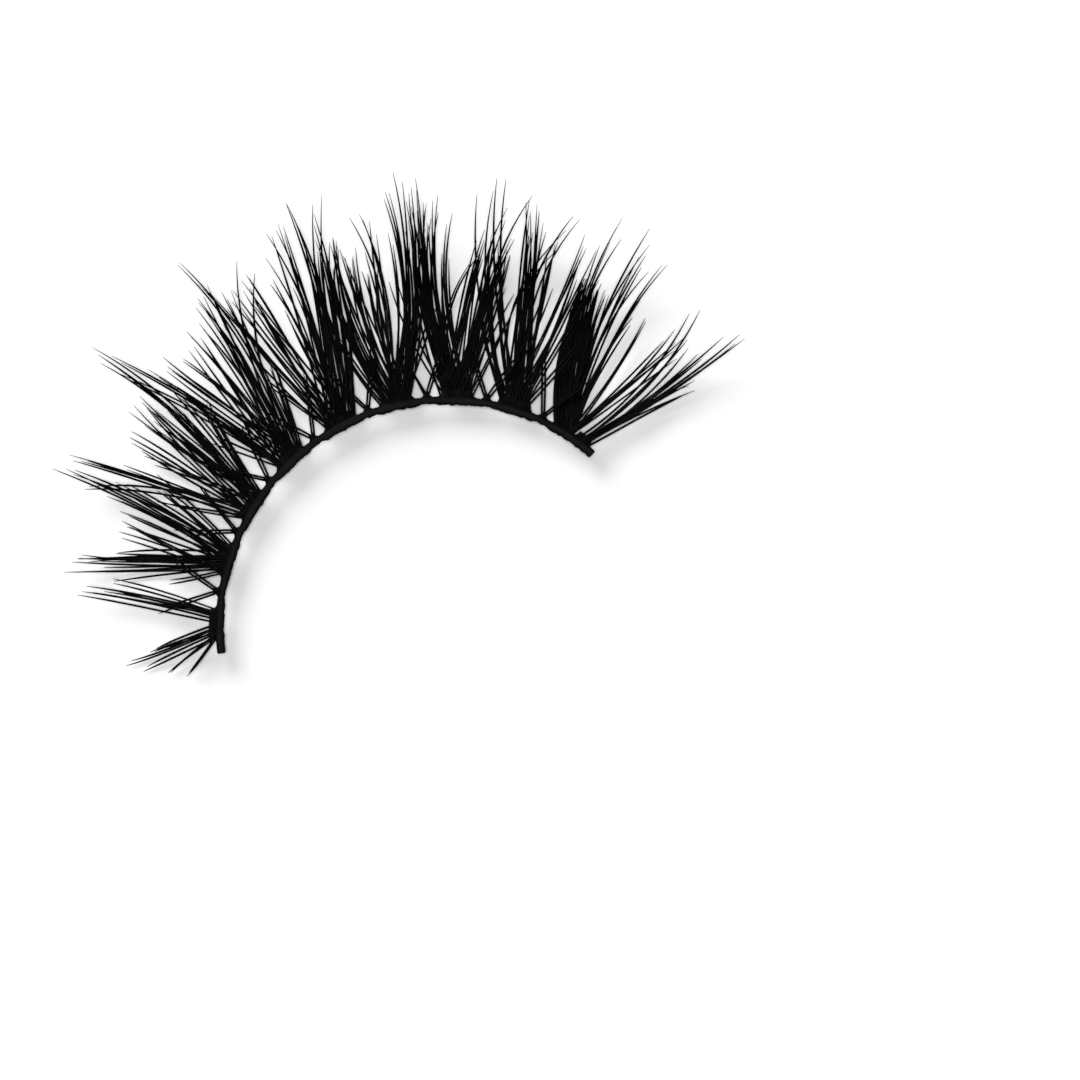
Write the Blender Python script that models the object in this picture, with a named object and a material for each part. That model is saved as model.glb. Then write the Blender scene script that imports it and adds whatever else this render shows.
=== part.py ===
"""A false eyelash strip for one eye, lying with its lashes curling up.

X runs along the straight line between the ends of the band, with the inner corner of the eye at -X.
The lashes fan out towards +Y, and +Z is up. The strip rests on the bellies of its lashes.
Lengths are in metres and angles in degrees.
"""

import math
from collections import namedtuple

import bmesh
import bpy
from mathutils import Matrix, Vector

# Band
BAND_LENGTH = 0.0340
BAND_WIDTH = 0.00052
BAND_THICKNESS = 0.00046
BAND_HEIGHT = 0.0013
BAND_FACETS = 35

# Lashes: lengths are seen from above
LASH_LENGTH = 0.0140
LOCK_WIDTH = 0.00072
LOCK_THICKNESS = 0.00028
LOCK_SIDES = 6
BELLY_OUT = 0.0045
TIP_RISE = 0.0046

# Locks of neighbouring fans pass over each other: two that lean this far apart are this far clear
CROSSING_LEAN = 30
CROSSING_GAP = 0.00030
CROSSING_RUN = 0.0030
LOWEST_LEAN = 22

# Feet of the fans, and the ties between them
SEAT_GAP = 0.00008
FOOT_LENGTH = 0.0020
FOOT_DEPTH = 0.00040
FOOT_HEIGHT = 0.00042
FOOT_FACETS = 4
KNOT_LENGTH = 0.00044
TIE_LENGTH = 0.0030
TIE_WIDTH = 0.00026
TIE_THICKNESS = 0.00014
TIE_LEAN = 27

# Colours, as linear red, green and blue
BAND_COLOUR = (0.0080, 0.0070, 0.0085, 1.0)
LASH_COLOUR = (0.0045, 0.0040, 0.0050, 1.0)

# The band's curve from the inner corner: share of its length, and how far it turns over that share
BandArc = namedtuple("BandArc", "share turn")
BAND_ARCS = (
    BandArc(share=0.10, turn=15),
    BandArc(share=0.40, turn=54),
    BandArc(share=0.45, turn=62),
    BandArc(share=0.05, turn=9),
)

# A lock's sections: share of its length, and share of its full width and thickness
Section = namedtuple("Section", "along girth")
LOCK_SECTIONS = (
    Section(along=0.00, girth=0.75),
    Section(along=0.16, girth=1.00),
    Section(along=0.34, girth=0.95),
    Section(along=0.52, girth=0.80),
    Section(along=0.70, girth=0.56),
    Section(along=0.86, girth=0.32),
    Section(along=1.00, girth=0.08),
)

# lean: turn from straight out of the band towards the inner corner; reach: share of LASH_LENGTH;
# bow: sideways bulge as a share of the lock's length; width: share of LOCK_WIDTH
Lock = namedtuple("Lock", "lean reach bow width")

# at: place of the middle of the foot as a share of BAND_LENGTH; foot: share of FOOT_LENGTH
Fan = namedtuple("Fan", "at foot locks")
FANS = (
    Fan(0.055, 0.95, (
        Lock(57, 0.26, 0.00, 0.6),
        Lock(40, 0.36, 0.02, 0.8),
        Lock(27, 0.49, 0.02, 1.0),
        Lock(20, 0.36, 0.00, 0.8),
        Lock(-15, 0.72, 0.02, 1.0),
        Lock(-24, 0.55, 0.00, 0.9),
    )),
    Fan(0.173, 1.0, (
        Lock(31, 0.34, 0.00, 0.6),
        Lock(22, 0.50, 0.00, 0.8),
        Lock(17, 0.70, 0.02, 1.1),
        Lock(8, 0.53, 0.00, 0.9),
        Lock(-3, 0.60, 0.00, 0.9),
        Lock(-12, 0.85, 0.02, 1.1),
        Lock(-20, 0.62, 0.00, 0.9),
        Lock(-28, 0.68, 0.00, 0.8),
    )),
    Fan(0.283, 1.0, (
        Lock(27, 0.55, 0.00, 0.8),
        Lock(20, 0.79, 0.02, 0.9),
        Lock(14, 0.84, 0.02, 1.0),
        Lock(4, 0.62, 0.00, 1.0),
        Lock(-2, 0.66, 0.00, 0.9),
        Lock(-9, 0.63, 0.00, 0.8),
        Lock(-16, 0.94, 0.02, 1.0),
        Lock(-24, 0.60, 0.00, 0.8),
    )),
    Fan(0.393, 1.0, (
        Lock(28, 0.60, 0.00, 0.8),
        Lock(21, 0.91, 0.02, 1.0),
        Lock(15, 0.86, 0.00, 1.0),
        Lock(9, 0.68, 0.00, 1.0),
        Lock(5, 0.70, 0.00, 0.9),
        Lock(-1, 0.73, 0.00, 0.8),
        Lock(-8, 0.90, 0.02, 0.9),
        Lock(-13, 0.99, 0.02, 0.9),
        Lock(-21, 0.66, 0.00, 0.9),
    )),
    Fan(0.505, 1.0, (
        Lock(22, 0.66, 0.00, 0.9),
        Lock(15, 0.94, 0.02, 1.0),
        Lock(10, 0.92, 0.00, 0.9),
        Lock(5, 0.75, 0.00, 0.9),
        Lock(0, 0.80, 0.00, 0.8),
        Lock(-5, 0.69, 0.00, 0.8),
        Lock(-11, 0.78, 0.00, 0.9),
        Lock(-20, 0.96, 0.02, 1.2),
        Lock(-25, 0.99, 0.03, 1.0),
    )),
    Fan(0.615, 1.0, (
        Lock(22, 0.98, -0.02, 1.1),
        Lock(16, 0.96, 0.00, 1.0),
        Lock(7, 0.76, 0.00, 0.8),
        Lock(1, 0.70, 0.00, 0.9),
        Lock(-7, 0.97, -0.02, 0.9),
        Lock(-14, 0.96, 0.00, 1.1),
        Lock(-20, 1.00, 0.02, 1.0),
        Lock(-27, 0.72, 0.00, 0.9),
    )),
    Fan(0.725, 1.0, (
        Lock(22, 0.76, 0.00, 1.0),
        Lock(14, 0.98, 0.00, 1.1),
        Lock(10, 0.80, 0.00, 0.9),
        Lock(5, 0.96, 0.02, 0.8),
        Lock(0, 0.78, 0.00, 0.9),
        Lock(-5, 0.72, 0.02, 0.8),
        Lock(-11, 0.70, 0.00, 0.9),
        Lock(-18, 0.66, 0.00, 0.8),
    )),
    Fan(0.832, 1.0, (
        Lock(29, 0.70, 0.00, 0.9),
        Lock(23, 0.99, 0.00, 0.9),
        Lock(16, 0.98, 0.02, 1.1),
        Lock(11, 0.97, 0.02, 1.2),
        Lock(5, 0.93, 0.03, 1.0),
        Lock(-1, 0.75, 0.00, 0.9),
        Lock(-7, 0.68, 0.00, 0.8),
        Lock(-15, 0.56, 0.00, 0.8),
    )),
    Fan(0.924, 0.66, (
        Lock(27, 0.80, 0.00, 1.0),
        Lock(18, 0.90, 0.00, 1.2),
        Lock(13, 0.92, 0.02, 1.3),
        Lock(7, 0.88, 0.03, 1.2),
        Lock(2, 0.66, 0.00, 0.9),
    )),
    Fan(0.970, 0.50, (
        Lock(10, 0.65, 0.00, 0.8),
        Lock(3, 0.66, 0.00, 0.8),
        Lock(-3, 0.85, 0.02, 0.9),
        Lock(-9, 0.62, 0.00, 0.8),
        Lock(-16, 0.87, 0.02, 1.0),
        Lock(-21, 0.52, 0.00, 0.7),
    )),
)

# Places of the ties, as shares of BAND_LENGTH
TIES = (0.114, 0.228, 0.338, 0.449, 0.560, 0.670, 0.779, 0.886)

FOOT_NEAR = BAND_WIDTH / 2 + SEAT_GAP
FOOT_FAR = FOOT_NEAR + FOOT_DEPTH
LOCK_START = FOOT_NEAR + FOOT_DEPTH / 2
LIFT_PER_DEGREE = (LOCK_THICKNESS + CROSSING_GAP) / CROSSING_LEAN
HIGHEST_LEAN = min(lock.lean for fan in FANS for lock in fan.locks)
TIE_LIFT = (
    LIFT_PER_DEGREE * (LOWEST_LEAN - HIGHEST_LEAN) + LOCK_THICKNESS + TIE_THICKNESS + CROSSING_GAP
)


def clear_scene():
    for obj in list(bpy.data.objects):
        bpy.data.objects.remove(obj, do_unlink=True)


def run_along(distance):
    """Point and heading after this distance along the band's arcs, which start at the origin along +X."""
    point = Vector((0.0, 0.0))
    heading = 0.0
    for arc in BAND_ARCS:
        length = arc.share * BAND_LENGTH
        step = min(distance, length)
        half_turn = math.radians(arc.turn) * step / length / 2
        chord = step * math.sin(half_turn) / half_turn if half_turn else step
        heading -= half_turn
        point += chord * Vector((math.cos(heading), math.sin(heading)))
        heading -= half_turn
        distance -= step
    return point, heading


END_POINT = run_along(BAND_LENGTH)[0]
CHORD_LENGTH = END_POINT.length
CHORD_TURN = math.atan2(END_POINT.y, END_POINT.x)


def band_at(distance):
    """Point and heading of the band's middle line, with its two ends level on the X axis."""
    point, heading = run_along(distance)
    point.rotate(Matrix.Rotation(-CHORD_TURN, 2))
    point.x -= CHORD_LENGTH / 2
    return point, heading - CHORD_TURN


def outward(heading, lean=0.0):
    """Unit vector straight out of the band's lash side, turned by lean degrees towards the inner corner."""
    angle = heading + math.radians(90 + lean)
    return Vector((math.cos(angle), math.sin(angle)))


MIDDLE_LINE = [band_at(BAND_LENGTH * i / BAND_FACETS)[0] for i in range(BAND_FACETS + 1)]


def distance_from_band(point):
    """Distance in plan from the band's middle line."""
    nearest = math.inf
    for start, end in zip(MIDDLE_LINE, MIDDLE_LINE[1:]):
        edge = end - start
        share = max(0.0, min(1.0, (point - start).dot(edge) / edge.length_squared))
        nearest = min(nearest, (point - start - share * edge).length)
    return nearest


def lash_height(point, lift):
    """Height of a lash over a point in plan: down from the band to the belly, then curling up to the tip."""
    out = max(0.0, distance_from_band(point) - FOOT_FAR)
    if out < BELLY_OUT:
        curl = BAND_HEIGHT * (1 - out / BELLY_OUT) ** 2
    else:
        curl = TIP_RISE * ((out - BELLY_OUT) / (LASH_LENGTH - BELLY_OUT)) ** 2
    return curl + lift * min(1.0, out / CROSSING_RUN)


def lift_of(lean):
    """Lashes that lean towards the outer corner pass over those that lean the other way."""
    return LIFT_PER_DEGREE * max(0, LOWEST_LEAN - lean)


def add_object(name, bm, material):
    mesh = bpy.data.meshes.new(name)
    bmesh.ops.recalc_face_normals(bm, faces=bm.faces)
    bm.to_mesh(mesh)
    bm.free()
    obj = bpy.data.objects.new(name, mesh)
    mesh.materials.append(material)
    return obj


def sweep(rings):
    """A closed body through rings of as many points each."""
    bm = bmesh.new()
    loops = [[bm.verts.new(point) for point in ring] for ring in rings]
    for near, far in zip(loops, loops[1:]):
        for i in range(len(near)):
            j = (i + 1) % len(near)
            bm.faces.new((near[i], near[j], far[j], far[i]))
    bm.faces.new(reversed(loops[0]))
    bm.faces.new(loops[-1])
    return bm


def strip_along_band(start, end, near, far, thickness, facets):
    """A slab that follows the band from start to end, between two distances from its middle line."""
    rings = []
    for i in range(facets + 1):
        point, heading = band_at(start + (end - start) * i / facets)
        side = outward(heading)
        inner = point + near * side
        outer = point + far * side
        low = BAND_HEIGHT - thickness / 2
        high = BAND_HEIGHT + thickness / 2
        rings.append([(*inner, low), (*outer, low), (*outer, high), (*inner, high)])
    return sweep(rings)


def strand(start, direction, length, bow, width, thickness, lift):
    """A tapered, flattened strand that follows the lashes' curl."""
    side = Vector((-direction.y, direction.x))
    path = []
    for section in LOCK_SECTIONS:
        t = section.along
        point = start + length * (t * direction + 4 * bow * t * (1 - t) * side)
        path.append(Vector((*point, lash_height(point, lift))))
    rings = []
    for i, section in enumerate(LOCK_SECTIONS):
        forward = (path[min(i + 1, len(path) - 1)] - path[max(i - 1, 0)]).normalized()
        across = Vector((0, 0, 1)).cross(forward).normalized()
        up = forward.cross(across)
        ring = []
        for k in range(LOCK_SIDES):
            angle = 2 * math.pi * k / LOCK_SIDES
            ring.append(
                path[i]
                + section.girth * width / 2 * math.cos(angle) * across
                + section.girth * thickness / 2 * math.sin(angle) * up
            )
        rings.append(ring)
    return sweep(rings)


def fuse(body, strands, material):
    """Joins the strands to the body they grow from."""
    cutters = bpy.data.collections.new(body.name + "_strands")
    bpy.context.scene.collection.children.link(cutters)
    cutters.hide_render = True
    for i, bm in enumerate(strands):
        helper = add_object(f"{body.name}_strand_{i + 1}", bm, material)
        helper.hide_render = True
        helper.display_type = "WIRE"
        helper.parent = body
        cutters.objects.link(helper)
    union = body.modifiers.new("fuse strands", "BOOLEAN")
    union.operation = "UNION"
    union.operand_type = "COLLECTION"
    union.collection = cutters
    union.solver = "EXACT"


def make_band(material):
    half = BAND_WIDTH / 2
    bm = strip_along_band(0, BAND_LENGTH, -half, half, BAND_THICKNESS, BAND_FACETS)
    return add_object("band", bm, material)


def make_fan(name, fan, material):
    middle = fan.at * BAND_LENGTH
    foot_length = fan.foot * FOOT_LENGTH
    half = foot_length / 2
    foot = strip_along_band(
        middle - half, middle + half, FOOT_NEAR, FOOT_FAR, FOOT_HEIGHT, FOOT_FACETS
    )
    body = add_object(name, foot, material)
    strands = []
    for i, lock in enumerate(fan.locks):
        width = lock.width * LOCK_WIDTH
        share = (i + 0.5) / len(fan.locks)
        point, heading = band_at(middle + (foot_length - width) * (share - 0.5))
        start = point + LOCK_START * outward(heading)
        direction = outward(band_at(middle)[1], lock.lean)
        strands.append(strand(
            start, direction, lock.reach * LASH_LENGTH, lock.bow,
            width, LOCK_THICKNESS, lift_of(lock.lean),
        ))
    fuse(body, strands, material)
    return body


def make_tie(name, at, material):
    middle = at * BAND_LENGTH
    half = KNOT_LENGTH / 2
    knot = strip_along_band(middle - half, middle + half, FOOT_NEAR, FOOT_FAR, FOOT_HEIGHT, 1)
    body = add_object(name, knot, material)
    point, heading = band_at(middle)
    strands = []
    for lean in (TIE_LEAN, -TIE_LEAN):
        start = point + LOCK_START * outward(heading)
        strands.append(strand(
            start, outward(heading, lean), TIE_LENGTH, 0.0, TIE_WIDTH, TIE_THICKNESS, TIE_LIFT,
        ))
    fuse(body, strands, material)
    return body


def satin(name, colour, roughness):
    material = bpy.data.materials.new(name)
    material.use_nodes = True
    shader = material.node_tree.nodes["Principled BSDF"]
    shader.inputs["Base Color"].default_value = colour
    shader.inputs["Roughness"].default_value = roughness
    shader.inputs["Metallic"].default_value = 0.0
    return material


def stand_on_origin(strip, bodies):
    """Moves the whole strip so that the bottom centre of its box is the origin."""
    corners = [v.co for body in bodies for v in body.data.vertices]
    corners += [v.co for body in bodies for child in body.children for v in child.data.vertices]
    low = Vector(min(c[i] for c in corners) for i in range(3))
    high = Vector(max(c[i] for c in corners) for i in range(3))
    middle = (low + high) / 2
    strip.location = (-middle.x, -middle.y, -low.z)


def main():
    clear_scene()
    scene = bpy.context.scene
    strip = bpy.data.objects.new("strip", None)
    scene.collection.objects.link(strip)
    bodies = [make_band(satin("band thread", BAND_COLOUR, 0.45))]
    for i, fan in enumerate(FANS):
        name = f"fan_{i + 1:02d}"
        bodies.append(make_fan(name, fan, satin(name + " lashes", LASH_COLOUR, 0.35)))
    for i, at in enumerate(TIES):
        name = f"tie_{i + 1:02d}"
        bodies.append(make_tie(name, at, satin(name + " thread", LASH_COLOUR, 0.40)))
    for body in bodies:
        scene.collection.objects.link(body)
        body.parent = strip
    stand_on_origin(strip, bodies)


main()
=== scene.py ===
import math
import random
from collections import namedtuple

import bpy
import numpy as np
from mathutils import Matrix, Vector


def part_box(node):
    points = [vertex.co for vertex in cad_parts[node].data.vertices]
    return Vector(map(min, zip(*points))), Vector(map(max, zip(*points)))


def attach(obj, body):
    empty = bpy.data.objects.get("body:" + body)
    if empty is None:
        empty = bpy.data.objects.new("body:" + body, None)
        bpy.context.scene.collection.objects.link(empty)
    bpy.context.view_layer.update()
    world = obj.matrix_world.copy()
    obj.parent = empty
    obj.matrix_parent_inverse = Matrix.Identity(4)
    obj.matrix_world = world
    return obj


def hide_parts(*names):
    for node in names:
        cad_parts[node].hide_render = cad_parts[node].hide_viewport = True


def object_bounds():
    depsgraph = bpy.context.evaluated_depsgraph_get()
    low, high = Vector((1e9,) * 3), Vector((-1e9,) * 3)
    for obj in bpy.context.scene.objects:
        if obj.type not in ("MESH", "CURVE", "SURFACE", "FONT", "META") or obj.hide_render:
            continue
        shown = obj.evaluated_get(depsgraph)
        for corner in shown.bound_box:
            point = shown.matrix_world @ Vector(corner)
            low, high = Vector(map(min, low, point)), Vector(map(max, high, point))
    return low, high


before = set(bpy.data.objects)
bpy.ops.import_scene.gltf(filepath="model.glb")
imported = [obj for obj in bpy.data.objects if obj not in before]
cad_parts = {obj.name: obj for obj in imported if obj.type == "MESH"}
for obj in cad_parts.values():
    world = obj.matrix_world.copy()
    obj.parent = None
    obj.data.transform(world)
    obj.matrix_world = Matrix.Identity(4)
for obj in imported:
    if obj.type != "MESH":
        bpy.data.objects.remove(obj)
CAD_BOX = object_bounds()

# Lengths are in metres and angles in degrees, unless a comment says otherwise

# The strip's main sizes, as the solids have them
BAND_LENGTH = 0.0340
BAND_WIDTH = 0.00052
BAND_THICKNESS = 0.00046
BAND_HEIGHT = 0.0013
LASH_LENGTH = 0.0140
BELLY_OUT = 0.0045
TIP_RISE = 0.0046
FOOT_LENGTH = 0.0020

# Hairs of neighbouring fans pass over each other: each degree that a hair leans less than
# LOWEST_LEAN lifts it by LIFT_PER_DEGREE, little by little over LIFT_RUN
LIFT_PER_DEGREE = 0.0000193
LOWEST_LEAN = 22
LIFT_RUN = 0.0030

# The glued webs at the roots of the fans, and the knots of the ties
FOOT_OUT = 0.00042
FOOT_FILLET = 0.00026
KNOT_LENGTH = 0.00040
KNOT_OUT = 0.00034
KNOT_FILLET = 0.00022
WEB_STEPS = 10
WEB_SIDES = 28
# How deep a web starts inside the band, and how far it stays from the band's ends, as shares of the
# band's width
WEB_SINK = 0.25
WEB_END_GAP = 0.1
# How much narrower a web is at its outer side than at the band
WEB_NARROWING = 0.12
# A web's thickness at the band, and how much of it is gone at the outer side, as shares of the band's
WEB_THICKNESS = 0.9
WEB_THINNING = 0.6
# How a web's steps crowd towards the band, and how soon it thins
WEB_STEP_POWER = 1.4
WEB_THINNING_POWER = 0.8
# The shape of a cross-section: 1 is an ellipse, and less is squarer
WEB_SQUARENESS = 0.7

# The band's inner edge, with waves and nicks of these lengths and random strengths, and its winding
BULGE = 0.00003
LUMP = 0.00003
LUMP_WAVES = 9
LUMP_LENGTHS = (0.0003, 0.0026)
LUMP_PHASES = (0, 6.3)
LUMP_STRENGTHS = (0.5, 1)
NICK = 0.00004
NICK_COUNT = 34
NICK_LENGTHS = (0.00006, 0.00016)
WAIST_DEPTH = 0.00010
WAIST_LENGTH = 0.00060
WRAP_PITCH = 0.00017
WRAP_RELIEF = 0.000008
BAND_STEPS = 680
BAND_SIDES = 18
BAND_SQUARENESS = 0.65
# At its ends the band has END_SHARE of its section, which grows by a whole one in each END_ROUNDING
# until it is full
END_SHARE = 0.7
END_ROUNDING = 0.00010

# The band's curve from the inner corner: share of its length, and how far it turns over that share
BandArc = namedtuple("BandArc", "share turn")
BAND_ARCS = (
    BandArc(share=0.10, turn=15),
    BandArc(share=0.40, turn=54),
    BandArc(share=0.45, turn=62),
    BandArc(share=0.05, turn=9),
)

# Single hairs: they taper from TAPER_FROM of their length on, to a tip of TIP_SHARE of their width.
# The lower the two powers, the later the width falls and the more the steps crowd at the tip
HAIR_WIDTH = 0.000124
HAIR_SIDES = 6
HAIR_STEPS = 16
TAPER_FROM = 0.76
TAPER_POWER = 0.75
TIP_SHARE = 0.22
STEP_POWER = 0.95

# A group of hairs in a fan, laid in pairs. lean: turn in degrees from straight out of the band
# towards the inner corner; reach: share of LASH_LENGTH; spread: degrees, and pairs lean up to
# SPREAD_TIMES that much more or less; bow: bulge and hook: bend of the tip, both towards the inner
# corner and as shares of the length; root and span: where along the foot the pairs start and how far
# to either side of that, as shares of half the foot
Group = namedtuple("Group", "lean reach pairs spread bow hook root span")
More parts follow.
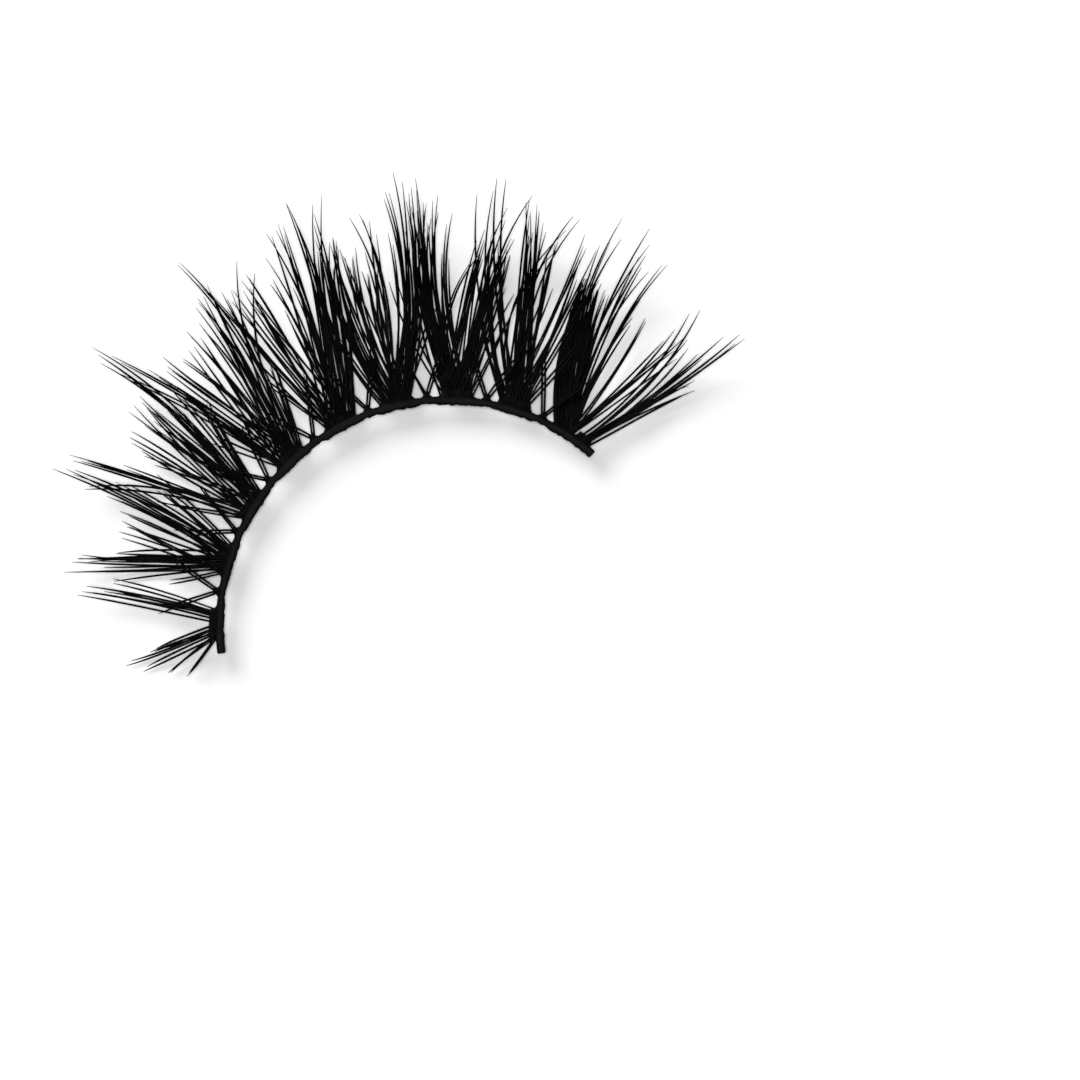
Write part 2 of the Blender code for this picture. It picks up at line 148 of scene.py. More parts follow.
# A fan. at: where its foot's middle lies, as a share of BAND_LENGTH; foot: share of FOOT_LENGTH
Fan = namedtuple("Fan", "at foot groups")
FANS = (
    Fan(0.055, 0.95, (
        Group(57, 0.25, 1, 4.0, 0.00, 0.00, -0.9, 0.1),
        Group(36, 0.34, 1, 3.0, 0.00, 0.00, -0.8, 0.1),
        Group(24, 0.45, 2, 1.5, 0.00, 0.00, -0.6, 0.3),
        Group(20, 0.36, 2, 2.0, 0.00, 0.00, -0.3, 0.3),
        Group(-12, 0.66, 2, 0.5, 0.00, 0.00, 0.4, 0.4),
        Group(-14, 0.50, 1, 1.5, 0.00, 0.00, 0.6, 0.3),
        Group(-16, 0.50, 1, 0.5, 0.00, 0.00, 0.8, 0.2),
    )),
    Fan(0.173, 1.0, (
        Group(32, 0.34, 1, 2.0, 0.00, 0.00, -0.8, 0.2),
        Group(22, 0.50, 1, 2.0, 0.00, 0.00, -0.5, 0.4),
        Group(18, 0.70, 5, 0.4, 0.00, 0.00, -0.2, 0.4),
        Group(16, 0.50, 2, 1.0, 0.00, 0.00, 0.2, 0.6),
        Group(-2, 0.52, 2, 2.0, 0.00, 0.00, -0.3, 0.7),
        Group(-9, 0.52, 3, 2.0, 0.00, 0.00, 0.0, 0.9),
        Group(-10, 0.84, 2, 1.0, -0.038, 0.00, 0.2, 0.6),
        Group(-17, 0.60, 2, 2.0, 0.00, 0.02, 0.4, 0.5),
        Group(-27, 0.46, 3, 1.0, 0.00, 0.02, 0.7, 0.3),
    )),
    Fan(0.283, 1.0, (
        Group(24, 0.40, 1, 2.0, 0.00, 0.00, -0.8, 0.2),
        Group(18, 0.78, 1, 1.0, -0.02, 0.06, -0.6, 0.3),
        Group(14, 0.86, 2, 1.0, 0.00, 0.02, -0.6, 0.4),
        Group(10, 0.62, 2, 1.5, 0.01, 0.00, -0.1, 0.8),
        Group(2, 0.66, 2, 2.5, 0.00, 0.00, 0.0, 1.0),
        Group(-4, 0.68, 2, 2.0, 0.00, 0.02, -0.1, 0.8),
        Group(-9, 0.70, 3, 2.0, 0.00, 0.02, 0.0, 0.9),
        Group(-14, 0.74, 2, 1.5, 0.00, 0.00, 0.1, 0.8),
        Group(-17, 0.99, 2, 1.0, -0.02, 0.04, 0.3, 0.6),
        Group(-21, 0.62, 2, 2.0, 0.00, 0.02, 0.5, 0.5),
        Group(-27, 0.46, 2, 2.0, 0.00, 0.00, 0.8, 0.2),
    )),
    Fan(0.393, 1.0, (
        Group(26, 0.42, 1, 2.0, 0.00, 0.00, -0.8, 0.2),
        Group(16, 0.58, 1, 1.5, 0.01, 0.00, -0.6, 0.4),
        Group(14, 0.90, 2, 1.0, 0.00, 0.03, -0.6, 0.3),
        Group(11, 0.74, 4, 1.5, 0.01, 0.00, 0.0, 0.9),
        Group(2, 0.72, 1, 3.0, 0.00, 0.00, 0.0, 0.9),
        Group(-5, 0.70, 2, 2.0, 0.00, 0.02, -0.2, 0.8),
        Group(-13, 0.84, 4, 1.2, -0.01, 0.00, 0.0, 0.9),
        Group(-18, 0.82, 4, 1.2, 0.00, 0.00, 0.3, 0.7),
        Group(-16, 0.97, 2, 1.0, -0.03, 0.06, -0.1, 0.6),
        Group(-21, 0.95, 1, 0.5, 0.01, -0.12, 0.4, 0.4),
        Group(-26, 0.50, 2, 2.0, 0.00, 0.00, 0.8, 0.2),
    )),
    Fan(0.505, 1.0, (
        Group(24, 0.44, 1, 1.5, 0.02, 0.00, -0.8, 0.2),
        Group(17, 0.58, 1, 1.5, 0.02, 0.00, -0.8, 0.2),
        Group(13, 0.96, 1, 1.0, 0.01, 0.04, -0.6, 0.3),
        Group(11, 0.76, 4, 1.5, 0.02, 0.00, 0.0, 0.9),
        Group(5, 0.71, 2, 2.0, 0.02, 0.00, 0.1, 0.8),
        Group(-1, 0.76, 2, 2.0, 0.00, 0.03, 0.0, 1.0),
        Group(-13, 0.88, 3, 1.5, 0.00, 0.03, -0.2, 0.7),
        Group(-19, 0.88, 5, 1.2, -0.02, 0.00, 0.1, 0.9),
        Group(-15, 0.99, 3, 1.5, -0.02, 0.10, 0.0, 0.7),
        Group(-14, 1.01, 3, 2.0, -0.02, -0.13, 0.4, 0.5),
        Group(-27, 0.54, 2, 2.0, 0.00, 0.00, 0.8, 0.2),
    )),
    Fan(0.615, 1.0, (
        Group(24, 0.46, 1, 1.5, 0.03, 0.00, -0.8, 0.2),
        Group(15, 0.70, 4, 1.0, 0.045, -0.02, -0.5, 0.5),
        Group(11, 0.80, 5, 0.8, 0.050, -0.02, 0.0, 0.8),
        Group(7, 0.74, 5, 1.0, 0.050, -0.03, 0.3, 0.6),
        Group(-2, 0.78, 2, 3.0, 0.02, 0.04, 0.1, 0.8),
        Group(-9, 0.96, 2, 1.0, -0.03, 0.12, -0.2, 0.5),
        Group(-13, 1.01, 4, 0.8, -0.035, 0.03, 0.3, 0.6),
        Group(-15, 1.00, 1, 1.0, -0.02, -0.03, 0.6, 0.3),
        Group(-14, 0.82, 3, 1.5, -0.03, 0.00, 0.2, 0.8),
        Group(-21, 0.70, 2, 2.0, -0.01, 0.00, 0.0, 0.9),
        Group(-31, 0.50, 2, 2.0, 0.00, 0.00, 0.0, 0.7),
    )),
    Fan(0.725, 1.0, (
        Group(24, 0.56, 2, 2.0, 0.03, 0.00, -0.4, 0.6),
        Group(15, 0.82, 5, 1.0, 0.03, -0.03, -0.4, 0.6),
        Group(12, 0.84, 5, 1.0, 0.03, -0.03, 0.2, 0.7),
        Group(12, 0.96, 3, 1.5, 0.03, 0.00, -0.2, 0.7),
        Group(14, 0.98, 1, 0.5, 0.01, -0.14, -0.4, 0.2),
        Group(14, 0.74, 1, 0.5, 0.02, -0.33, -0.2, 0.2),
        Group(-4, 0.76, 3, 2.0, 0.00, -0.03, 0.2, 0.7),
        Group(-10, 0.77, 5, 2.5, 0.00, -0.03, -0.1, 0.9),
        Group(-14, 0.70, 3, 2.0, 0.00, 0.00, 0.1, 0.9),
        Group(-24, 0.52, 2, 2.0, 0.00, 0.00, 0.6, 0.4),
    )),
    Fan(0.832, 1.0, (
        Group(33, 0.46, 1, 2.0, 0.00, 0.00, -0.7, 0.3),
        Group(27, 1.00, 2, 1.0, 0.02, -0.08, -0.4, 0.5),
        Group(30, 0.97, 1, 0.5, 0.05, -0.25, -0.4, 0.2),
        Group(24, 0.90, 3, 2.0, 0.02, -0.07, -0.2, 0.8),
        Group(16, 0.98, 4, 0.8, 0.00, 0.00, 0.4, 0.5),
        Group(13, 0.84, 4, 1.5, 0.01, -0.03, 0.3, 0.6),
        Group(26, 0.89, 1, 0.5, 0.02, -0.46, 0.0, 0.2),
        Group(19, 0.95, 1, 0.5, 0.00, -0.34, 0.3, 0.2),
        Group(4, 0.78, 2, 2.0, 0.00, -0.03, 0.0, 0.9),
        Group(-7, 0.82, 5, 2.6, -0.015, 0.00, -0.2, 0.9),
        Group(-12, 0.68, 2, 2.0, -0.02, 0.00, 0.2, 0.8),
        Group(-24, 0.42, 1, 2.0, 0.00, 0.00, 0.5, 0.5),
    )),
    Fan(0.930, 0.66, (
        Group(20.5, 0.66, 4, 0.6, 0.065, 0.00, -0.72, 0.2),
        Group(20, 0.69, 4, 0.6, 0.050, 0.00, -0.38, 0.2),
        Group(19.5, 0.70, 5, 0.4, 0.035, -0.01, -0.04, 0.2),
        Group(19, 0.69, 5, 0.4, 0.020, -0.01, 0.3, 0.2),
        Group(18.5, 0.66, 5, 0.4, 0.005, -0.01, 0.62, 0.2),
        Group(17, 0.97, 2, 1.0, 0.04, -0.03, -0.3, 0.5),
        Group(12, 0.96, 1, 1.0, 0.03, -0.04, 0.3, 0.5),
        Group(9, 0.97, 3, 1.2, 0.02, -0.04, 0.5, 0.5),
        Group(4, 0.68, 2, 2.0, 0.01, -0.03, 0.6, 0.4),
        Group(-3, 0.64, 1, 1.0, -0.02, 0.00, 0.7, 0.3),
        Group(-13, 0.66, 1, 1.0, -0.03, 0.00, 0.7, 0.3),
        Group(-19, 0.66, 2, 2.0, -0.02, 0.00, 0.7, 0.3),
    )),
    Fan(0.970, 0.50, (
        Group(-6, 0.82, 1, 0.5, -0.070, 0.00, -0.3, 0.5),
        Group(-13, 0.72, 1, 1.0, -0.03, 0.00, 0.0, 0.6),
        Group(-18, 0.88, 1, 0.5, -0.03, 0.00, 0.0, 0.8),
        Group(-18, 0.68, 1, 1.5, -0.02, 0.00, 0.3, 0.6),
        Group(-20.5, 0.88, 1, 0.5, -0.01, -0.02, 0.4, 0.4),
        Group(-23, 0.58, 2, 1.5, 0.00, 0.00, 0.5, 0.5),
    )),
)

# Two hairs of a pair start this far apart. A pair is at most LONGEST times its group's length,
# as its last stretch is too fine to see, and up to SHORTER times that length less
PAIR_GAP = 0.00020
LONGEST = 1.05
SHORTER = 0.26
# How far a pair can lie from its even place, as a share of the step from pair to pair
PAIR_SHIFT = 0.25
SPREAD_TIMES = 1.5

# How much pairs differ at random, and then the two hairs of a pair
PAIR_BOW_VARIES = 0.007
PAIR_HOOK_VARIES = 0.018
OWN_LEAN_VARIES = 1.2
OWN_BOW_VARIES = 0.006
OWN_HOOK_VARIES = 0.018
OWN_LENGTHS = (0.86, 1.0)
OWN_WIDTHS = (0.85, 1.12)
OWN_LIFTS = (0, 0.00012)
# Hairs start this share of the band's width from its middle line, inside the web, and up to
# ROOT_LAYER above or below it. They stay level as far as LEVEL_OUT past the band's edge
ROOT_START = 0.55
ROOT_LAYER = 0.00017
LEVEL_OUT = 0.00048

# The ties: shares of BAND_LENGTH, and how the hairs of their Vs lie
TIES = (0.114, 0.228, 0.338, 0.449, 0.560, 0.670, 0.779, 0.886)
TIE_LEAN = 26
TIE_LEAN_VARIES = 1.5
TIE_OWN_LEAN_VARIES = 0.6
TIE_HAIR_GAP = 0.00017
TIE_HAIR_WIDTH = HAIR_WIDTH * 1.05
TIE_REACH = 0.28
TIE_LENGTHS = (0.8, 1.1)
TIE_BOW_VARIES = 0.008
TIE_HOOK_VARIES = 0.02
TIE_LIFT = 0.0011

# Seeds of the random draws: the band's, the first fan's and the first tie's
BAND_SEED = 3
FAN_SEED = 100
TIE_SEED = 200

# Near-black fibres. dark and light: the ends of their tone; roughness and specular: of their gloss;
# scale: of the uneven tone and gloss; grain: strength of the fine grain
Fibre = namedtuple("Fibre", "name dark light roughness specular scale grain")
LASH_FIBRE = Fibre(
    "lash hair", (0.0004, 0.0003, 0.0004, 1), (0.0016, 0.0012, 0.0016, 1), 0.42, 0.035, 1400, 0.3
)
THREAD_FIBRE = Fibre(
    "band thread", (0.0012, 0.0010, 0.0014, 1), (0.0050, 0.0042, 0.0054, 1), 0.50, 0.04, 900, 0.5
)
# The noise, the levels of it at which the tone is dark and light, and how far the gloss varies
TONE_DETAIL = 6.0
TONE_ROUGHNESS = 0.6
TONE_LEVELS = (0.35, 0.70)
SMOOTHER = 0.08
ROUGHER = 0.10
# How much finer the grain is than the tone, and how deep
GRAIN_TIMES = 9
GRAIN_DETAIL = 3.0
GRAIN_DEPTH = 0.00002

# The floor and the light: the sky, and two suns with how many degrees wide they look. The key sun
# shines across the image in the direction KEY_ACROSS, right and up, from KEY_ELEVATION over the floor
FLOOR_COLOUR = (0.86, 0.86, 0.86, 1.0)
FLOOR_ROUGHNESS = 0.9
FLOOR_HALF = 3.0
SKY_COLOUR = (1.0, 1.0, 1.0, 1.0)
SKY_STRENGTH = 0.15
OVERHEAD_STRENGTH = 2.02
OVERHEAD_WIDTH = 12
KEY_STRENGTH = 2.40
KEY_WIDTH = 34
KEY_ACROSS = (0.56, -0.83)
KEY_ELEVATION = 36
LIGHT_HEIGHT = 0.5

# The photograph's frame, with pixels counted from its upper left corner: the middle between the
# band's ends, and the band's length along its curve. The camera's sensor is in millimetres
IMAGE_SIDE = 1080
BAND_MIDDLE_PX = (407.0, 554.0)
BAND_LENGTH_PX = 541.2
PX_PER_METRE = BAND_LENGTH_PX / BAND_LENGTH
IMAGE_TURN = 28.2
CAMERA_DISTANCE = 0.60
SENSOR = 36.0
NEAREST_SEEN = 0.01
FARTHEST_SEEN = 10


def run_along(distance):
    """Point and heading after this distance along the band's arcs, which start at the origin along +X."""
    point = Vector((0.0, 0.0))
    heading = 0.0
    for arc in BAND_ARCS:
        length = arc.share * BAND_LENGTH
        step = min(distance, length)
        half_turn = math.radians(arc.turn) * step / length / 2
        chord = step * math.sin(half_turn) / half_turn if half_turn else step
        heading -= half_turn
        point += chord * Vector((math.cos(heading), math.sin(heading)))
        heading -= half_turn
        distance -= step
    return point, heading


END_POINT = run_along(BAND_LENGTH)[0]
CHORD_LENGTH = END_POINT.length
CHORD_TURN = math.atan2(END_POINT.y, END_POINT.x)


def level_band_at(distance):
    """Point and heading, with the line between the band's ends laid along X and centred."""
    point, heading = run_along(distance)
    point.rotate(Matrix.Rotation(-CHORD_TURN, 2))
    point.x -= CHORD_LENGTH / 2
    return point, heading - CHORD_TURN


def outward(heading, lean=0.0):
    """Direction in plan, out of the band where it has this heading, leant to the left."""
    angle = heading + math.radians(90 + lean)
    return Vector((math.cos(angle), math.sin(angle)))


def place_of_band():
    """Where the middle of the line between the band's ends lies, read from the CAD band's box."""
    low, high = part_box("band")
    ends = [level_band_at(d) for d in (0.0, BAND_LENGTH)]
    left = min((p + s * BAND_WIDTH / 2 * outward(h)).x for p, h in ends for s in (-1, 1))
    lowest = min((p + s * BAND_WIDTH / 2 * outward(h)).y for p, h in ends for s in (-1, 1))
    return Vector((low[0] - left, low[1] - lowest)), (low[2] + high[2]) / 2


BAND_PLACE, BAND_MIDDLE_Z = place_of_band()
FLOOR_Z = CAD_BOX[0][2]
BELLY_Z = BAND_MIDDLE_Z - BAND_HEIGHT


def band_at(distance):
    """Point and heading of the band's middle line in the frame."""
    point, heading = level_band_at(distance)
    return point + BAND_PLACE, heading


LINE_STEPS = 70
MIDDLE_LINE = np.array([band_at(BAND_LENGTH * i / LINE_STEPS)[0] for i in range(LINE_STEPS + 1)])


def distance_from_band(points):
    """Distance in plan of each point from the band's middle line."""
    start = MIDDLE_LINE[:-1]
    edge = MIDDLE_LINE[1:] - start
    away = points[:, None, :] - start[None]
    share = np.clip((away * edge).sum(-1) / (edge**2).sum(-1), 0, 1)
    return np.linalg.norm(away - share[..., None] * edge, axis=-1).min(1)


LEVEL_TO = BAND_WIDTH / 2 + LEVEL_OUT


def lash_height(points, layer, lift):
    """Height of a hair over points in plan: down from the band to the belly, then curling up."""
    out = np.maximum(0.0, distance_from_band(points) - LEVEL_TO)
    near = BAND_HEIGHT * np.clip(1 - out / BELLY_OUT, 0, None) ** 2
    far = TIP_RISE * np.clip((out - BELLY_OUT) / (LASH_LENGTH - BELLY_OUT), 0, None) ** 2
    clear = np.minimum(1.0, out / LIFT_RUN)
    return BELLY_Z + near + far + layer * (1 - clear) + lift * clear


# Edges that turn more than this are shaded sharp
SHARP_ANGLE = 70


class MeshParts:
    """Gathers closed bodies into one mesh."""

    def __init__(self):
        self.points = []
        self.faces = []

    def add_rings(self, rings):
        """A closed body through rings of as many points each."""
        count, sides = rings.shape[:2]
        first = len(self.points)
        self.points.extend(rings.reshape(-1, 3).tolist())
        for i in range(count - 1):
            near = first + i * sides
            far = near + sides
            for k in range(sides):
                m = (k + 1) % sides
                self.faces.append((near + k, near + m, far + m, far + k))
        self.faces.append(tuple(range(first + sides - 1, first - 1, -1)))
        last = first + (count - 1) * sides
        self.faces.append(tuple(range(last, last + sides)))

    def piece(self, name, material):
        mesh = bpy.data.meshes.new(name)
        mesh.from_pydata(self.points, [], self.faces)
        mesh.validate()
        mesh.materials.append(material)
        mesh.shade_smooth()
        mesh.set_sharp_from_angle(angle=math.radians(SHARP_ANGLE))
        obj = bpy.data.objects.new(name, mesh)
        bpy.context.scene.collection.objects.link(obj)
        return obj


ROUND = np.linspace(0, 2 * math.pi, HAIR_SIDES, endpoint=False)

# How a hair lies. start and direction: in plan; bow: sideways bulge and hook: sideways bend of the
# tip, both to the left and as shares of the length; layer and lift: height over the lashes' own
# curl at the root and beyond it
Hair = namedtuple("Hair", "start direction length width bow hook layer lift")


def add_hair(parts, hair):
    """One tapered hair that follows the lashes' curl."""
    t = np.linspace(0, 1, HAIR_STEPS) ** STEP_POWER
    along = np.array(hair.direction)
    side = np.array((-along[1], along[0]))
    sideways = 4 * hair.bow * t * (1 - t) + hair.hook * t**3
    plan = np.array(hair.start) + hair.length * (t[:, None] * along + sideways[:, None] * side)
    path = np.column_stack([plan, lash_height(plan, hair.layer, hair.lift)])
    forward = np.gradient(path, axis=0)
    forward /= np.linalg.norm(forward, axis=1)[:, None]
    across = np.cross((0, 0, 1), forward)
    across /= np.linalg.norm(across, axis=1)[:, None]
    up = np.cross(forward, across)
    taper = np.clip((1 - t) / (1 - TAPER_FROM), 0, 1) ** TAPER_POWER
    girth = hair.width / 2 * (TIP_SHARE + (1 - TIP_SHARE) * taper)
    rings = (
        path[:, None, :]
        + girth[:, None, None] * np.cos(ROUND)[None, :, None] * across[:, None, :]
        + girth[:, None, None] * np.sin(ROUND)[None, :, None] * up[:, None, :]
    )
    parts.add_rings(rings)


def rounded(value, squareness):
    """The cosine or sine of a point on an ellipse, moved to a rounded box."""
    return math.copysign(abs(value) ** squareness, value)


def add_web(parts, at, half_length, reach, fillet):
    """The glued root of a fan or tie: a flat web with a round fillet where it joins the band."""
    middle = at * BAND_LENGTH
    end_gap = BAND_WIDTH * WEB_END_GAP
    rings = []
    for i in range(WEB_STEPS):
        t = i / (WEB_STEPS - 1)
        beyond = reach * t**WEB_STEP_POWER - BAND_WIDTH * WEB_SINK * (1 - t) ** 2
        out = BAND_WIDTH / 2 + beyond
        rise = 1 - min(max(beyond, 0.0), fillet) / fillet
        half = half_length + fillet * (1 - math.sqrt(1 - rise**2))
        half *= 1 - WEB_NARROWING * t**3
        thick = BAND_THICKNESS / 2 * (WEB_THICKNESS - WEB_THINNING * t**WEB_THINNING_POWER)
        ring = []
        for k in range(WEB_SIDES):
            angle = 2 * math.pi * k / WEB_SIDES
            along = middle + half * rounded(math.cos(angle), WEB_SQUARENESS)
            along = min(max(along, end_gap), BAND_LENGTH - end_gap)
            point, heading = band_at(along)
            place = point + out * outward(heading)
            ring.append((*place, BAND_MIDDLE_Z + thick * rounded(math.sin(angle), WEB_SQUARENESS)))
        rings.append(ring)
    parts.add_rings(np.array(rings))


def add_pair(parts, rng, group, share, middle, half, out_heading):
    """Two hairs that start side by side, this share of the way across their group, almost parallel."""
    where = group.root + (share * 2 - 1) * group.span
    lean = group.lean + rng.uniform(-SPREAD_TIMES, SPREAD_TIMES) * group.spread
    length = group.reach * LASH_LENGTH * (LONGEST - SHORTER * rng.random() ** 2)
    bow = group.bow + rng.gauss(0, PAIR_BOW_VARIES)
    hook = group.hook + rng.gauss(0, PAIR_HOOK_VARIES)
    for side in (-0.5, 0.5):
        point, heading = band_at(middle + where * half + side * PAIR_GAP)
        own_lean = lean + rng.gauss(0, OWN_LEAN_VARIES)
        add_hair(parts, Hair(
            start=point + BAND_WIDTH * ROOT_START * outward(heading),
            direction=outward(out_heading, own_lean),
            length=length * rng.uniform(*OWN_LENGTHS),
            width=HAIR_WIDTH * rng.uniform(*OWN_WIDTHS),
            bow=bow + rng.gauss(0, OWN_BOW_VARIES),
            hook=hook + rng.gauss(0, OWN_HOOK_VARIES),
            layer=rng.uniform(-1, 1) * ROOT_LAYER,
            lift=LIFT_PER_DEGREE * max(0, LOWEST_LEAN - own_lean) + rng.uniform(*OWN_LIFTS),
        ))


def make_fan(name, fan, seed, material):
    """A fan of single hairs on its glued foot."""
    rng = random.Random(seed)
    parts = MeshParts()
    middle = fan.at * BAND_LENGTH
    half = fan.foot * FOOT_LENGTH / 2
    add_web(parts, fan.at, half, FOOT_OUT, FOOT_FILLET)
    out_heading = band_at(middle)[1]
    for group in fan.groups:
        for i in range(group.pairs):
            share = (i + 0.5 + rng.uniform(-PAIR_SHIFT, PAIR_SHIFT)) / group.pairs
            add_pair(parts, rng, group, share, middle, half, out_heading)
    return parts.piece(name, material)


def make_tie(name, at, seed, material):
    """A small knot with a V of hairs, two to an arm."""
    rng = random.Random(seed)
    parts = MeshParts()
    add_web(parts, at, KNOT_LENGTH / 2, KNOT_OUT, KNOT_FILLET)
    middle = at * BAND_LENGTH
    heading = band_at(middle)[1]
    for arm in (1, -1):
        lean = arm * TIE_LEAN + rng.gauss(0, TIE_LEAN_VARIES)
        for side in (-0.5, 0.5):
            point = band_at(middle + side * TIE_HAIR_GAP)[0]
            add_hair(parts, Hair(
                start=point + BAND_WIDTH * ROOT_START * outward(heading),
                direction=outward(heading, lean + rng.gauss(0, TIE_OWN_LEAN_VARIES)),
                length=TIE_REACH * LASH_LENGTH * rng.uniform(*TIE_LENGTHS),
                width=TIE_HAIR_WIDTH,
                bow=rng.gauss(0, TIE_BOW_VARIES),
                hook=rng.gauss(0, TIE_HOOK_VARIES),
                layer=side * ROOT_LAYER,
                lift=TIE_LIFT,
            ))
    return parts.piece(name, material)


def band_waist(along):
    """The share of WAIST_DEPTH by which the band draws in here: it does at each tie, between the feet."""
    return sum(math.exp(-((along - at * BAND_LENGTH) / WAIST_LENGTH) ** 4) for at in TIES)


Wave = namedtuple("Wave", "length phase strength")
Nick = namedtuple("Nick", "at length depth")


def edge_lumps(rng):
    """The function that says how far the band's inner edge stands out at each place along it."""
    waves = [
        Wave(rng.uniform(*LUMP_LENGTHS), rng.uniform(*LUMP_PHASES), rng.uniform(*LUMP_STRENGTHS))
        for _ in range(LUMP_WAVES)
    ]
    nicks = [
        Nick(rng.uniform(0, BAND_LENGTH), rng.uniform(*NICK_LENGTHS), rng.uniform(-1, 1))
        for _ in range(NICK_COUNT)
    ]
    # This makes all waves together about as high as one
    evened = math.sqrt(LUMP_WAVES)

    def lump_at(along):
        waved = sum(w.strength * math.sin(2 * math.pi * along / w.length + w.phase) for w in waves)
        nicked = sum(n.depth * math.exp(-((along - n.at) / n.length) ** 2) for n in nicks)
        return LUMP * waved / evened + NICK * nicked - WAIST_DEPTH * band_waist(along)

    return lump_at


def make_band(material):
    """The band: thread wound round a flat core and set in glue, with a lumpy inner edge."""
    lump_at = edge_lumps(random.Random(BAND_SEED))
    rings = []
    for i in range(BAND_STEPS + 1):
        along = BAND_LENGTH * i / BAND_STEPS
        point, heading = band_at(along)
        side = outward(heading)
        end = min(along, BAND_LENGTH - along)
        rounding = min(1.0, end / END_ROUNDING + END_SHARE)
        lump = lump_at(along)
        ring = []
        for k in range(BAND_SIDES):
            angle = 2 * math.pi * k / BAND_SIDES
            c, s = math.cos(angle), math.sin(angle)
            wrap = WRAP_RELIEF * math.cos(2 * math.pi * along / WRAP_PITCH + angle)
            x = (BAND_WIDTH / 2 + wrap) * rounded(c, BAND_SQUARENESS)
            z = (BAND_THICKNESS / 2 + wrap) * rounded(s, BAND_SQUARENESS)
            x -= (BULGE + lump) * max(0, -c)
            place = point + x * rounding * side
            ring.append((*place, BAND_MIDDLE_Z + z * rounding))
        rings.append(ring)
    parts = MeshParts()
    parts.add_rings(np.array(rings))
    return parts.piece("wound_band", material)


def node(tree, kind, **inputs):
    """A shader node with these inputs, named with _ for each space."""
    made = tree.nodes.new(kind)
    for key, value in inputs.items():
        made.inputs[key.replace("_", " ")].default_value = value
    return made


def fibre_material(fibre):
    """Near-black fibre: uneven tone and gloss, and a fine grain."""
    material = bpy.data.materials.new(fibre.name)
    material.use_nodes = True
    tree = material.node_tree
    shader = tree.nodes["Principled BSDF"]
    shader.inputs["Specular IOR Level"].default_value = fibre.specular
    place = tree.nodes.new("ShaderNodeTexCoord")
    noise = node(
        tree, "ShaderNodeTexNoise", Scale=fibre.scale, Detail=TONE_DETAIL, Roughness=TONE_ROUGHNESS
    )
    tree.links.new(place.outputs["Object"], noise.inputs["Vector"])
    ramp = tree.nodes.new("ShaderNodeValToRGB")
    for stop, level, tone in zip(ramp.color_ramp.elements, TONE_LEVELS, (fibre.dark, fibre.light)):
        stop.position = level
        stop.color = tone
    tree.links.new(noise.outputs["Fac"], ramp.inputs["Fac"])
    tree.links.new(ramp.outputs["Color"], shader.inputs["Base Color"])
    gloss = node(
        tree, "ShaderNodeMapRange", To_Min=fibre.roughness - SMOOTHER, To_Max=fibre.roughness + ROUGHER
    )
    tree.links.new(noise.outputs["Fac"], gloss.inputs["Value"])
    tree.links.new(gloss.outputs["Result"], shader.inputs["Roughness"])
    grain = node(tree, "ShaderNodeTexNoise", Scale=fibre.scale * GRAIN_TIMES, Detail=GRAIN_DETAIL)
    tree.links.new(place.outputs["Object"], grain.inputs["Vector"])
    relief = node(tree, "ShaderNodeBump", Strength=fibre.grain, Distance=GRAIN_DEPTH)
    tree.links.new(grain.outputs["Fac"], relief.inputs["Height"])
    tree.links.new(relief.outputs["Normal"], shader.inputs["Normal"])
    return material


def floor_material():
    """Matt white."""
    material = bpy.data.materials.new("white floor")
    material.use_nodes = True
    shader = material.node_tree.nodes["Principled BSDF"]
    shader.inputs["Base Color"].default_value = FLOOR_COLOUR
    shader.inputs["Roughness"].default_value = FLOOR_ROUGHNESS
    shader.inputs["Specular IOR Level"].default_value = 0.0
    return material


def to_frame(right, up):
    """A direction in the image plane, as a direction in the frame's plan."""
    turn = math.radians(IMAGE_TURN)
    return Vector((
        right * math.cos(turn) + up * math.sin(turn),
        -right * math.sin(turn) + up * math.cos(turn),
    ))


def add_sun(name, strength, width, travel):
    """A soft light whose rays travel this way, as from a panel that looks this many degrees wide."""
    data = bpy.data.lights.new(name, "SUN")
    data.energy = strength
    data.angle = math.radians(width)
    light = bpy.data.objects.new(name, data)
    bpy.context.scene.collection.objects.link(light)
    light.rotation_mode = "QUATERNION"
    light.rotation_quaternion = travel.normalized().to_track_quat("-Z", "Y")
    light.location = (0, 0, LIGHT_HEIGHT)


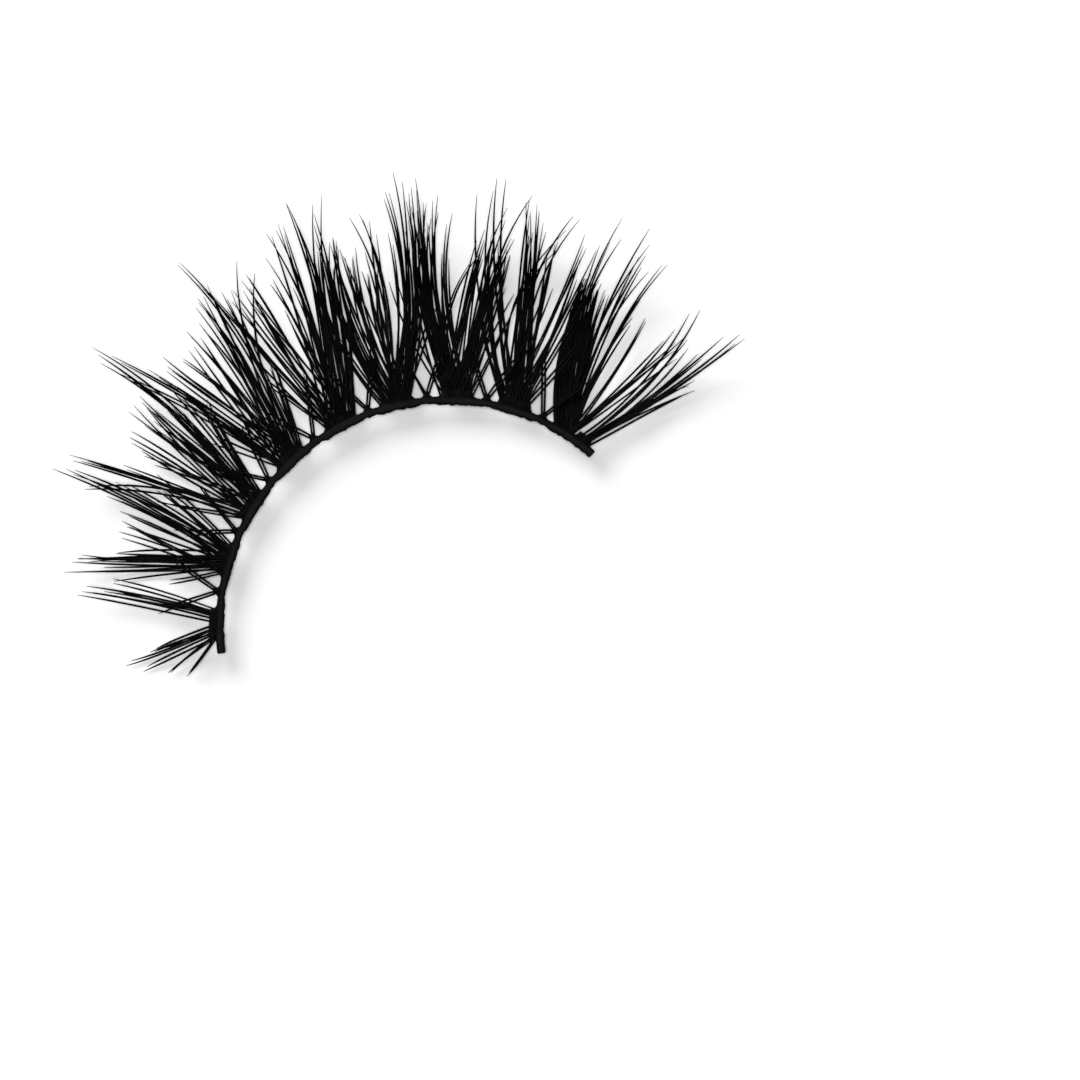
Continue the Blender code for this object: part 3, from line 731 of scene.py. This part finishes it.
def make_stage():
    """The white floor, the sky and the two lights."""
    scene = bpy.context.scene
    scene.view_settings.view_transform = "Standard"
    mesh = bpy.data.meshes.new("floor")
    corners = [(x * FLOOR_HALF, y * FLOOR_HALF, FLOOR_Z) for x, y in ((-1, -1), (1, -1), (1, 1), (-1, 1))]
    mesh.from_pydata(corners, [], [(0, 1, 2, 3)])
    mesh.materials.append(floor_material())
    floor = bpy.data.objects.new("floor", mesh)
    scene.collection.objects.link(floor)

    world = bpy.data.worlds.new("studio")
    world.use_nodes = True
    world.node_tree.nodes["Background"].inputs["Color"].default_value = SKY_COLOUR
    world.node_tree.nodes["Background"].inputs["Strength"].default_value = SKY_STRENGTH
    scene.world = world
    add_sun("overhead", OVERHEAD_STRENGTH, OVERHEAD_WIDTH, Vector((0, 0, -1)))
    plan = to_frame(*KEY_ACROSS)
    fall = math.tan(math.radians(KEY_ELEVATION))
    add_sun("key", KEY_STRENGTH, KEY_WIDTH, Vector((plan.x, plan.y, -fall)))


def make_camera():
    """Straight above, turned and placed so that the strip lies where it does in the photo."""
    scene = bpy.context.scene
    centre_px = IMAGE_SIDE / 2
    right = (centre_px - BAND_MIDDLE_PX[0]) / PX_PER_METRE
    up = (BAND_MIDDLE_PX[1] - centre_px) / PX_PER_METRE
    middle = BAND_PLACE + to_frame(right, up)
    data = bpy.data.cameras.new("camera")
    data.sensor_width = SENSOR
    data.sensor_fit = "HORIZONTAL"
    data.lens = SENSOR * CAMERA_DISTANCE * PX_PER_METRE / IMAGE_SIDE
    data.clip_start = NEAREST_SEEN
    data.clip_end = FARTHEST_SEEN
    camera = bpy.data.objects.new("camera", data)
    scene.collection.objects.link(camera)
    camera.location = (*middle, BAND_MIDDLE_Z + CAMERA_DISTANCE)
    camera.rotation_euler = (0, 0, -math.radians(IMAGE_TURN))
    scene.camera = camera


def main():
    """The stage, the camera and the strip's 19 pieces."""
    make_stage()
    make_camera()
    lash = fibre_material(LASH_FIBRE)
    band = make_band(fibre_material(THREAD_FIBRE))
    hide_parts("band")
    pieces = [band]
    for i, fan in enumerate(FANS):
        node_name = f"fan_{i + 1:02d}"
        piece = make_fan(f"lashes_{i + 1:02d}", fan, FAN_SEED + i, lash)
        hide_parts(node_name)
        pieces.append(piece)
    for i, at in enumerate(TIES):
        node_name = f"tie_{i + 1:02d}"
        piece = make_tie(f"knot_{i + 1:02d}", at, TIE_SEED + i, lash)
        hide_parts(node_name)
        pieces.append(piece)
    for piece in pieces:
        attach(piece, "root")


main()
